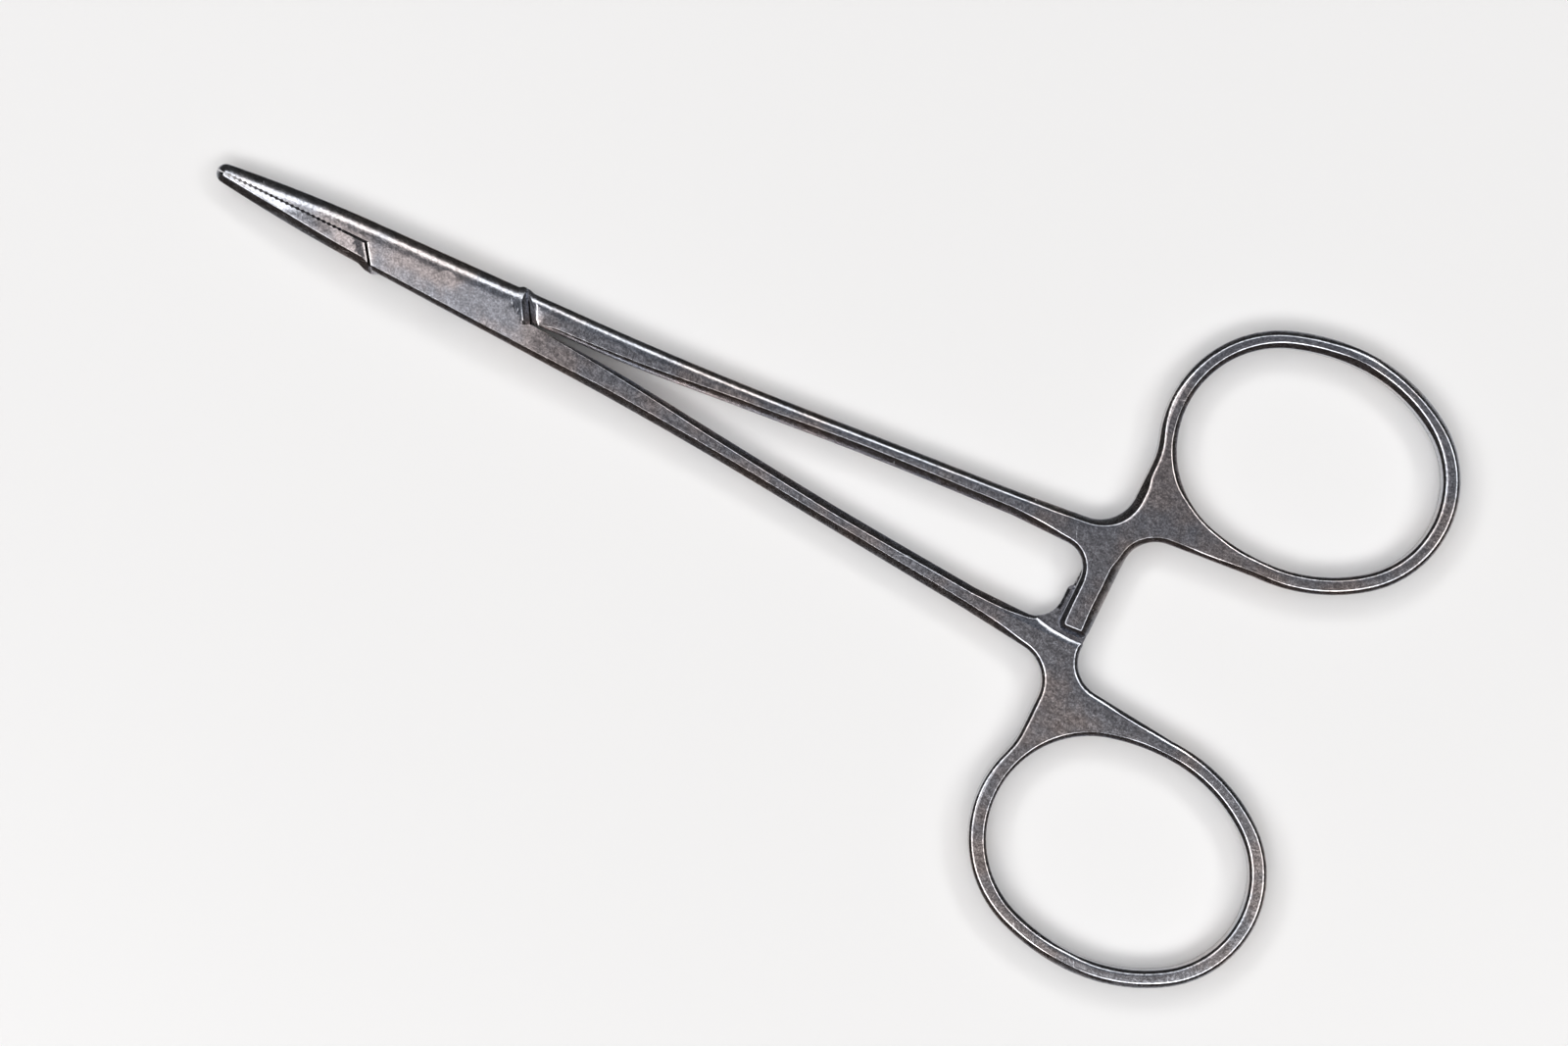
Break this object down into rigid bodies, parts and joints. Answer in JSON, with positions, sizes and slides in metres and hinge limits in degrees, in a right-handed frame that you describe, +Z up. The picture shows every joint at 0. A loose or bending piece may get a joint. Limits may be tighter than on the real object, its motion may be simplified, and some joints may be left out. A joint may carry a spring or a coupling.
{
  "type": "needle holder",
  "caption": "Slim surgical needle holder with a box-lock pivot, serrated jaws, a ratchet and two finger rings.",
  "frame": {"origin": "on the pivot pin's axis, in the plane of the box lock's flat underside, on which the instrument lies", "axes": "+X along the closed instrument towards the jaw tips, +Y towards the ring of the box half, +Z up out of the plane it lies on"},
  "size_m": [0.1288, 0.07, 0.0044],
  "materials": {
    "box_half_steel": "polished and finely scratched",
    "tenon_half_steel": "polished and finely scratched",
    "pin_steel": "ground flush with the cheeks"
  },
  "bodies": {
    "box_side": {"box_half": "box_half_steel", "pivot_pin": "pin_steel"},
    "tenon_side": {"tenon_half": "tenon_half_steel"}
  },
  "joints": [
    {"name": "box_lock", "type": "hinge", "parent": "box_side", "child": "tenon_side", "pos_m": [0, 0, 0.0022], "axis": [0, 0, 1], "range_deg": [0, 60]}
  ]
}
